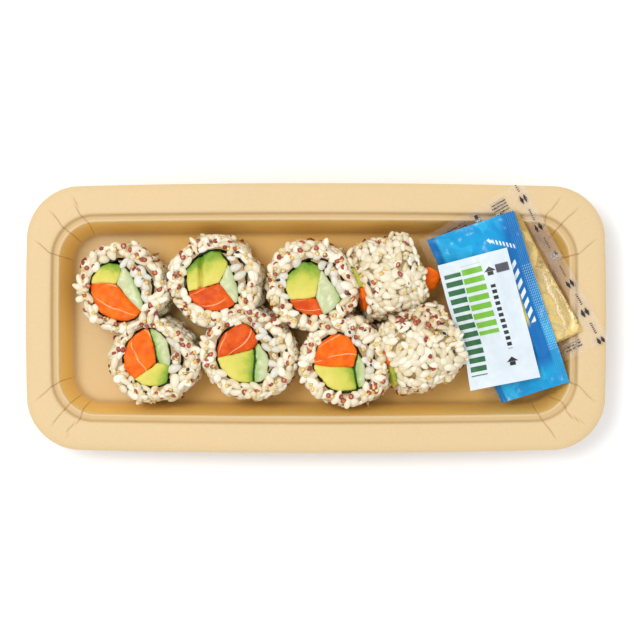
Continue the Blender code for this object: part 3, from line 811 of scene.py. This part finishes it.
class Roll:
    """One roll: where its axis runs, how far it reaches, and how pressed rice departs from its solid."""

    def __init__(self, name):
        self.name = name
        self.number = ROLLS.index(name)
        self.lies = name in LYING
        self.nori = tree_of(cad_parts[name + "_nori"])
        low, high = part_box(name + "_rice")
        if self.lies:
            turn = math.radians(LYING[name])
            self.axis = Vector((math.cos(turn), math.sin(turn), 0))
            self.middle = (low + high) / 2
            self.reach = (high.z - low.z) / 2
            self.half = ((high.x - low.x) / 2 - (self.reach + 1 * MM) * math.sin(turn)) / math.cos(turn)
        else:
            self.axis = -UP
            self.middle = Vector(((low.x + high.x) / 2, (low.y + high.y) / 2, high.z))
            self.reach = min(high.x - low.x, high.y - low.y) / 2 - 1 * MM

    def off(self, place):
        """How a place lies off the roll's axis."""
        away = place - self.middle
        return away - self.axis * away.dot(self.axis)

    def on_cut(self, normal, least=ON_CUT):
        """Whether a face is part of the cut."""
        return abs(normal.dot(self.axis)) > least

    def on_coat(self, place, normal):
        """Whether a face looks out of the roll, and not into one of the slots and holes inside it."""
        out = self.off(place)
        return normal.dot(out) > 0 and out.length > FILLED

    def from_nori(self, place):
        """How far a place lies from the nori."""
        return self.nori.find_nearest(place)[3]

    def swelling(self, place, normal):
        """How far the hand-pressed rice stands proud of its solid at a place, or falls short of it."""
        lumps = noise.noise(Vector(place) / LUMP + Vector((self.number * 7.3, 0, 0)))
        clump = 0.0
        if self.name == "roll_4":
            clump = CLUMP_SIZE * math.exp(-(((place - CLUMP).length / CLUMP_WIDTH) ** 2))
        if self.on_cut(normal):
            return 0.5 * MM * lumps + clump
        out = 1.9 * MM * lumps - (0.9 if self.lies else 0.6) * MM
        if self.name == "roll_8" and normal.z > 0:
            out -= SEAM_DEPTH * math.exp(-((beyond(SEAM, place) / SEAM_WIDTH) ** 2))
        return out + clump

    def settle(self, obj):
        """Shifts a piece along with its roll, so that none is a true circle and a lying one is rounder."""
        start = Vector((self.number * 11.7, 3.1, 0.4))
        for vert in obj.data.vertices:
            away = self.off(vert.co)
            along = (vert.co - self.middle).dot(self.axis)
            if self.lies:
                near_end = held(1 - (self.half - abs(along)) / SHOULDER_LENGTH)
                vert.co -= away * SHOULDER / self.reach * near_end**2
            if self.name == "roll_4" and along > self.half - TRIM_LENGTH:
                vert.co -= self.axis * TRIM * (along - self.half + TRIM_LENGTH) / TRIM_LENGTH
            push = noise.noise_vector(away / SHIFT_LENGTH + start) * SHIFT
            vert.co += push - self.axis * push.dot(self.axis)
            vert.co.z = max(vert.co.z, 0.9 * MM)


def ring_cuts(obj, roll):
    """Cuts rings round a lying roll near its ends, so that its shoulders can bend."""
    for way in (-1, 1):
        for back in (1.5, 3.0, 4.5, 6.0):
            with editing(obj):
                at = roll.middle + roll.axis * way * (roll.half - back * MM)
                bpy.ops.mesh.bisect(plane_co=at, plane_no=roll.axis)


def make_rice(roll, grains, core_finish, finish, seed):
    """Wraps a roll's rice core in real grains, and leaves room for its nori and fillings."""

    def wanted(place, normal):
        if place.z < GRAINS_FROM or normal.z < -0.75:
            return False
        if roll.name == "roll_8" and normal.z > 0.2 and abs(beyond(SEAM, place)) < SEAM_GAP:
            return False
        return roll.from_nori(place) > NORI_CLEARANCE and (roll.on_cut(normal) or roll.on_coat(place, normal))

    core = copy_of(roll.name + "_rice")
    spots = []
    for place, normal in spread(core, GRAIN_GAP, seed, wanted):
        inner = roll.on_cut(normal) and roll.off(place).length < roll.reach - INNER_RICE
        spots.append((place + normal * roll.swelling(place, normal), normal, inner))
    bed = joined_copies(roll.name + "_grains", grains, spots, seed, GRAIN_LIFT, 0.2, (0.84, 1.22))
    roll.settle(bed)
    named(bed, roll.name + "_grains", finish, "rice")
    for vert in core.data.vertices:
        if roll.from_nori(vert.co) > 1.5 * MM:
            vert.co += vert.normal * (roll.swelling(vert.co, vert.normal) - CORE_SUNK)
    if roll.lies:
        ring_cuts(core, roll)
    roll.settle(core)
    smooth(core, 40)
    named(core, roll.name + "_core", core_finish, "rice", roll.name + "_rice")


def make_seeds(roll, kind, shapes, finish, counts, seed):
    """Seeds or flakes of one kind on a roll's rice, so many of them in each of five places."""
    edge = roll.reach - SEED_EDGE

    def on_side(place, normal):
        if place.z < 8 * MM or normal.z < -0.4 or roll.from_nori(place) < 1.2 * MM:
            return False
        steep = normal.z < 0.6 or not roll.lies
        return steep and not roll.on_cut(normal, 0.5) and roll.on_coat(place, normal)

    def on_edge(place, normal):
        return roll.on_cut(normal, 0.8) and normal.z > -0.5 and roll.off(place).length > edge

    def on_top(place, normal):
        if roll.lies:
            return normal.z > 0.55 and (roll.name != "roll_8" or beyond(SEAM, place) < -1 * MM)
        return normal.z > 0.8 and roll.off(place).length < edge and roll.from_nori(place) > 1.3 * MM

    def beyond_seam(place, normal):
        return normal.z > 0.2 and beyond(SEAM, place) > 0.8 * MM

    def in_seam(place, normal):
        return normal.z > 0.2 and abs(beyond(SEAM, place)) < 0.7 * MM

    spots = []
    for count, wanted in zip(counts, (on_side, on_edge, on_top, beyond_seam, in_seam)):
        if count:
            found = spread(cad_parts[roll.name + "_rice"], SEED_GAP, seed + len(spots), wanted, count)
            spots += [(place + normal * roll.swelling(place, normal), normal) for place, normal in found]
    made = joined_copies(f"{roll.name}_{kind}", shapes, spots, seed, SEED_LIFT, 0.35, (0.85, 1.2))
    roll.settle(made)
    return named(made, f"{roll.name}_{kind}", finish, "rice")


def make_nori(roll, finish):
    """A crinkled sheet of pressed seaweed, a little thicker than its solid and rough at its cut edge."""
    node = roll.name + "_nori"
    sheet = copy_of(node)
    finish_with(sheet, "REMESH", mode="VOXEL", voxel_size=0.5 * MM)
    finish_with(sheet, "SMOOTH", factor=0.5, iterations=2)
    finish_with(sheet, "DISPLACE", texture=clouds(7 * MM), strength=1.5 * MM, mid_level=0.62)
    finish_with(sheet, "DISPLACE", texture=clouds(2.2 * MM), strength=0.8 * MM, mid_level=0.54)
    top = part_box(node)[1].z
    for vert in sheet.data.vertices:
        if not roll.lies and top - vert.co.z < 1 * MM:
            vert.co.z -= 1.6 * MM * max(0.0, noise.noise(vert.co / (4 * MM)) + 0.1)
    roll.settle(sheet)
    smooth(sheet)
    return named(sheet, node + "_sheet", finish, "nori", node)


def make_filling(roll, food, finish):
    """Cut food with softened corners, mapped from its inner side to its skin."""
    node = f"{roll.name}_{food}"
    made = copy_of(node)
    finish_with(made, "REMESH", mode="VOXEL", voxel_size=0.6 * MM)
    finish_with(made, "SMOOTH", factor=0.5, iterations=7)
    finish_with(made, "DISPLACE", texture=clouds(4.5 * MM), strength=1.3 * MM, mid_level=0.28)
    if roll.lies:
        push_out(made, roll, food)
    if node == "roll_2_avocado":
        slit(made)
    roll.settle(made)
    toward = UP
    if not roll.lies:
        turn = math.radians(SKIN_SIDES[roll.name][food])
        toward = Vector((math.cos(turn), math.sin(turn), 0))
    map_along(made, toward.cross(roll.axis).normalized(), toward, 0.75 if roll.lies else 1.0)
    smooth(made)
    return named(made, node + "_piece", finish, food, node)


def slit(made):
    """Parts a piece of avocado in two slices."""
    top = max(vert.co.z for vert in made.data.vertices)
    for vert in made.data.vertices:
        if vert.co.z > top - 5 * MM:
            vert.co.z -= SLIT_DEPTH * math.exp(-((beyond(SLIT, vert.co) / SLIT_WIDTH) ** 2))


def push_out(made, roll, food):
    """Presses a lying roll's fillings out of its left end, and roll 4's salmon out of its right end too."""
    to_right = Vector((-roll.axis.y, roll.axis.x, 0))
    for vert in made.data.vertices:
        away = vert.co - roll.middle
        along = away.dot(roll.axis)
        if along < -roll.half + 4 * MM:
            vert.co -= roll.axis * LEFT_PUSH * min(1.0, (-roll.half + 4 * MM - along) / (4 * MM))
        if food == "salmon" and roll.name == "roll_4" and along > roll.half - 3 * MM:
            side = (vert.co - roll.middle).dot(to_right)
            far = along - roll.half + 3 * MM
            vert.co += roll.axis * far * 0.6 * max(0.0, 1 - abs(side + TIP_SIDE) / (6 * MM))


def map_along(obj, across, along, most):
    """Maps a piece: 0 to 1 across it, and at each place 0 to the most from its inner side to its skin."""
    places = np.array([v.co for v in obj.data.vertices])
    side, reach = places @ np.array(across), places @ np.array(along)
    side = (side - side.min()) / (side.max() - side.min())
    strip = np.minimum((side * MAP_STRIPS).astype(int), MAP_STRIPS - 1)
    kept = [n for n in range(MAP_STRIPS) if (strip == n).any()]
    middles = [(n + 0.5) / MAP_STRIPS for n in kept]
    low = np.interp(side, middles, [reach[strip == n].min() for n in kept])
    high = np.interp(side, middles, [reach[strip == n].max() for n in kept])
    lay_map(obj, np.stack((side, np.clip((reach - low) / (high - low + 1e-6), 0, 1) * most), axis=1))


def lay_map(obj, flat):
    """Lays a map on a piece, with one flat place for each vertex."""
    mesh = obj.data
    for layer in list(mesh.uv_layers):
        mesh.uv_layers.remove(layer)
    layer = mesh.uv_layers.new(name="laid")
    corners = np.zeros(len(mesh.loops), np.int32)
    mesh.loops.foreach_get("vertex_index", corners)
    layer.data.foreach_set("uv", np.asarray(flat, np.float32)[corners].ravel())


# The sachets


# Corners in plan, in mm: top left, top right, bottom right, bottom left; then how far the left is pressed in
SACHETS = {
    "ginger_sachet": (((45.4, 34.4), (90.6, 60.4), (129.0, -9.4), (77.4, -35.2)), 1.8),
    "blue_sachet": (((48.8, 34.4), (86.9, 47.2), (111.6, -28.2), (82.6, -37.8)), 0.0),
    "white_sachet": (((53.4, 23.0), (83.4, 30.8), (98.6, -26.0), (67.9, -32.2)), 1.8),
}
TUCK_AT, TUCK_WIDTH = 0.7, 0.22  # where along its left side it is pressed in, and how broadly
INSET = 0.985  # the share of a sachet's size at which its solid is felt for its outer edge
GINGER_FROM, GINGER_SIZE = (0.05, 0.135), (0.80, 0.755)  # where the ginger lies on the map of its sachet
SLICES = 24


def plan_point(sachet, u, v):
    """Where a place of a sachet lies in plan: u across from the left, v along from the top."""
    corners, tucked = SACHETS[sachet]
    top_left, top_right, bottom_right, bottom_left = (Vector(c) * MM for c in corners)
    left = top_left.lerp(bottom_left, v)
    right = top_right.lerp(bottom_right, v)
    left += (right - left).normalized() * tucked * MM * math.exp(-(((v - TUCK_AT) / TUCK_WIDTH) ** 2))
    return left.lerp(right, u)


class Pouch:
    """The heights of a sachet's two faces, read off its solid and eased."""

    def __init__(self, sachet, across=48, along=72):
        self.sachet = sachet
        self.across, self.along = across, along
        tree = tree_of(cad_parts[sachet])
        self.faces = np.zeros((2, across + 1, along + 1))
        for i in range(across + 1):
            for j in range(along + 1):
                u = 0.5 + (i / across - 0.5) * INSET
                v = 0.5 + (j / along - 0.5) * INSET
                self.faces[:, i, j] = self.cast(tree, plan_point(sachet, u, v))
        for face in self.faces:
            for _ in range(3):
                beside = face[:-2, 1:-1] + face[2:, 1:-1] + face[1:-1, :-2] + face[1:-1, 2:]
                face[1:-1, 1:-1] = (face[1:-1, 1:-1] * 2 + beside) / 6

    def cast(self, tree, spot):
        """The heights of the solid's upper and lower face at a spot in plan."""
        above = tree.ray_cast(Vector((spot.x, spot.y, 0.1)), -UP)[0]
        below = tree.ray_cast(Vector((spot.x, spot.y, -0.01)), UP)[0]
        if above is None or below is None:
            middle = tree.find_nearest(Vector((spot.x, spot.y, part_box(self.sachet)[1].z)))[0].z
            return middle, middle - 0.5 * MM
        return above.z, below.z

    def at(self, u, v):
        """The heights of the upper and lower face at a place."""
        x, y = held(u) * self.across, held(v) * self.along
        i, j = min(int(x), self.across - 1), min(int(y), self.along - 1)
        a, b = x - i, y - j
        near, far = self.faces[:, i : i + 2, j], self.faces[:, i : i + 2, j + 1]
        return (near[:, 0] * (1 - a) + near[:, 1] * a) * (1 - b) + (far[:, 0] * (1 - a) + far[:, 1] * a) * b


def ripple(u, v, size, seed):
    """A soft noise over a sachet, with more waves for a greater size."""
    return noise.noise(Vector((u * size, v * size * 1.4, seed)))


def make_sachet(pouch, finish, wrinkle, seed):
    """Two faces of film round a filling, pinched flat and puckered at the seals."""
    made = slab(80, 110)
    flat = []
    for vert in made.data.vertices:
        u, v, upper = vert.co
        flat.append((u, v))
        top, bottom = pouch.at(u, v)
        spot = plan_point(pouch.sachet, u, v)
        rim = min(u, 1 - u, v * 1.2, (1 - v) * 1.2)
        pucker = math.exp(-rim / 0.07) * math.sin(60 * v + 3 * ripple(u, v, 6, seed + 9)) * 0.25
        crumple = ripple(u, v, 5, seed) + 0.5 * ripple(u, v, 12, seed + 3)
        crumple -= 0.7 * abs(ripple(u, v, 7, seed + 6))
        swell = wrinkle * MM * min(1.0, rim / 0.05) * (crumple + pucker)
        vert.co = (spot.x, spot.y, top + swell if upper > 0.5 else bottom + 0.2 * swell)
    lay_map(made, flat)
    smooth(made, 60)
    return named(made, pouch.sachet + "_film", finish, pouch.sachet, pouch.sachet)


def make_ginger(pouch, juice, finish, seed):
    """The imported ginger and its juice, and the thin ruffled slices that show on top of it."""
    bed = slab(56, 80)
    for vert in bed.data.vertices:
        across, along, upper = vert.co
        u, v = (start + size * x for start, size, x in zip(GINGER_FROM, GINGER_SIZE, (across, along)))
        top, bottom = pouch.at(u, v)
        full = 1 - math.exp(-min(across, 1 - across, along, 1 - along) / 0.06)
        ridge = abs(ripple(u, v, 6, seed)) + 0.5 * abs(ripple(u + 0.3 * v, v, 11, seed + 4))
        height = ((top - bottom) / 2 - 0.35 * MM) * full - (1.7 * MM * ridge * full if upper > 0.5 else 0)
        spot = plan_point(pouch.sachet, u, v)
        vert.co = (spot.x, spot.y, (top + bottom) / 2 + (1 if upper > 0.5 else -1) * max(0.05 * MM, height))
    smooth(bed, 60)
    named(bed, "ginger_in_juice", juice, pouch.sachet)
    draw = random.Random(seed)
    slices = [ginger_slice(pouch, draw, n / SLICES) for n in range(SLICES)]
    bpy.ops.object.select_all(action="DESELECT")
    for made in slices:
        made.select_set(True)
    bpy.context.view_layer.objects.active = slices[0]
    bpy.ops.object.join()
    smooth(slices[0], 50)
    return named(slices[0], "ginger_slices", finish, pouch.sachet)


def ginger_slice(pouch, draw, order):
    """One slice: a thin rounded sheet, ruffled, that stays under the film."""
    bpy.ops.object.select_all(action="DESELECT")
    bpy.ops.mesh.primitive_grid_add(x_subdivisions=22, y_subdivisions=16, size=2)
    made = bpy.context.object
    at_u, at_v = draw.uniform(0.3, 0.78), draw.uniform(0.2, 0.84)
    half = (draw.uniform(0.10, 0.17), draw.uniform(0.07, 0.11))
    turn, phase = draw.uniform(0, math.pi), draw.uniform(0, 6.28)
    for vert in made.data.vertices:
        x, y = vert.co.x, vert.co.y
        out = max(abs(x), abs(y)) / max(1e-6, math.hypot(x, y))
        ruffle = math.sin(5.4 * x * out + 2 * y * out + phase)
        x, y = x * out * half[0], y * out * half[1]
        u = min(0.84, at_u + (x * math.cos(turn) - y * math.sin(turn)) * 1.25)
        v = min(0.88, max(0.145, at_v + (x * math.sin(turn) + y * math.cos(turn)) * 0.85))
        top, bottom = pouch.at(u, v)
        spot = plan_point(pouch.sachet, u, v)
        deep = (1.9 - 1.3 * order - 0.25 * ruffle) * MM
        vert.co = (spot.x, spot.y, max((top + bottom) / 2, top - deep))
    finish_with(made, "SOLIDIFY", thickness=0.5 * MM, offset=-1.0)
    return made


# The scene


# Red seeds, golden seeds and flakes: so many on the side, at the cut edges, on top, beyond and in the seam
SEED_COUNTS = {
    "standing": ((36, 18, 5, 0, 0), (50, 22, 6, 0, 0), (4, 0, 3, 0, 0)),
    "roll_4": ((18, 6, 12, 0, 0), (30, 8, 26, 0, 0), (2, 0, 7, 0, 0)),
    "roll_8": ((16, 6, 15, 30, 0), (26, 8, 28, 14, 0), (2, 0, 6, 2, 14)),
}
ORANGE_SALMON = ("roll_1", "roll_4", "roll_5", "roll_7")
CAMERA_AT = (0.88 * MM, 0.0, 1.026)
LENS, SENSOR = 128.57, 36  # in mm
SKY = ((0.95, 0.97, 1.0, 1), 0.94)
# Where each light hangs, its size and power, and its colour
LIGHTS = {
    "key light": ((-0.46, 0.26, 1.42), 0.5, 9.0, (1.0, 0.98, 0.94)),
    "soft light": ((0.4, -0.5, 1.6), 1.6, 2.5, (0.96, 0.98, 1.0)),
}


def make_rolls():
    """Rice, seeds, nori and fillings of the eight rolls."""
    grains = [
        small_shape((2.85, 1.75, 1.3), 10, 7, bend=0.08),
        small_shape((2.5, 1.8, 1.35), 10, 7, bend=0.03),
        small_shape((3.1, 1.65, 1.25), 10, 7, bend=0.14),
    ]
    # The core's dark tan is painted shade, for the gaps between the grains
    core = rice_finish("Rice core", shade(146, 110, 60), shade(182, 150, 98))
    rice = rice_finish("Cooked rice", shade(212, 197, 162), shade(245, 238, 222))
    leaf = nori_finish()
    seeds = {
        "red_seeds": (
            [small_shape((1.15, 1.08, 0.6), 10, 8, dent=0.6)],
            seed_finish("Red seed", shade(136, 32, 10), shade(206, 106, 60)),
        ),
        "golden_seeds": (
            [small_shape((0.95, 0.75, 0.6), 8, 6)],
            seed_finish("Golden seed", shade(214, 174, 88), shade(244, 222, 150)),
        ),
        "nori_flakes": ([small_shape((1.2, 0.7, 0.2), 6, 4, bend=0.2)], leaf),
    }
    orange = salmon_finish(1, shade(220, 86, 4), shade(236, 114, 14))
    redder = salmon_finish(2, shade(198, 66, 12), shade(224, 98, 24))
    avocado, cucumber = avocado_finish(), cucumber_finish()
    for roll in map(Roll, ROLLS):
        make_rice(roll, grains, core, rice, 100 + roll.number)
        make_nori(roll, leaf)
        make_filling(roll, "salmon", orange if roll.name in ORANGE_SALMON else redder)
        make_filling(roll, "avocado", avocado)
        make_filling(roll, "cucumber", cucumber)
        counts = SEED_COUNTS.get(roll.name, SEED_COUNTS["standing"])
        for seed, (kind, (shapes, finish)), wanted in zip((200, 300, 400), seeds.items(), counts):
            make_seeds(roll, kind, shapes, finish, wanted, seed + roll.number)
    for shape, _ in sum((shapes for shapes, _ in seeds.values()), grains):
        bpy.data.objects.remove(shape)


def make_sachets():
    """The clear bag with its ginger, and the two printed sachets that lie on it."""
    ginger = Pouch("ginger_sachet")
    make_sachet(ginger, film_finish(), 0.9, 3)
    make_sachet(Pouch("blue_sachet"), blue_finish(), 1.15, 5)
    make_sachet(Pouch("white_sachet"), white_finish(), 0.45, 8)
    make_ginger(ginger, juice_finish(), ginger_finish(), 21)


def make_floor():
    """A pale floor that is stage and not part of the object."""
    bpy.ops.object.select_all(action="DESELECT")
    bpy.ops.mesh.primitive_plane_add(size=6)
    floor = bpy.context.object
    floor.name = "floor"
    finish = Finish("Pale floor", 0.9, 0.5)
    finish.set(Base_Color=shade(248, 248, 248))
    floor.data.materials.append(finish.material)


def place_in_scene(name, data, place):
    """Puts a light or a camera in the scene, facing straight down."""
    made = bpy.data.objects.new(name, data)
    made.location = place
    bpy.context.scene.collection.objects.link(made)
    return made


def add_light(name, place, size, power, colour):
    """A square light that faces the tray."""
    light = bpy.data.lights.new(name, "AREA")
    light.shape = "SQUARE"
    light.size = size
    light.energy = power
    light.color = colour
    made = place_in_scene(name, light, place)
    made.rotation_mode = "QUATERNION"
    made.rotation_quaternion = Vector(place).to_track_quat("Z", "Y")


def set_scene():
    """Soft light from the upper left, a pale floor and the camera straight above."""
    make_floor()
    for name, values in LIGHTS.items():
        add_light(name, *values)
    scene = bpy.context.scene
    scene.world = bpy.data.worlds.new("Studio")
    scene.world.use_nodes = True
    sky = scene.world.node_tree.nodes["Background"]
    sky.inputs["Color"].default_value, sky.inputs["Strength"].default_value = SKY
    camera = bpy.data.cameras.new("camera")
    camera.lens, camera.sensor_width = LENS, SENSOR
    scene.camera = place_in_scene("camera", camera, CAMERA_AT)
    scene.view_settings.view_transform = "Standard"


def main():
    """Builds the tray and all that lies in it."""
    noise.seed_set(NOISE_SEED)
    make_tray(board_finish())
    make_rolls()
    make_sachets()
    set_scene()


main()
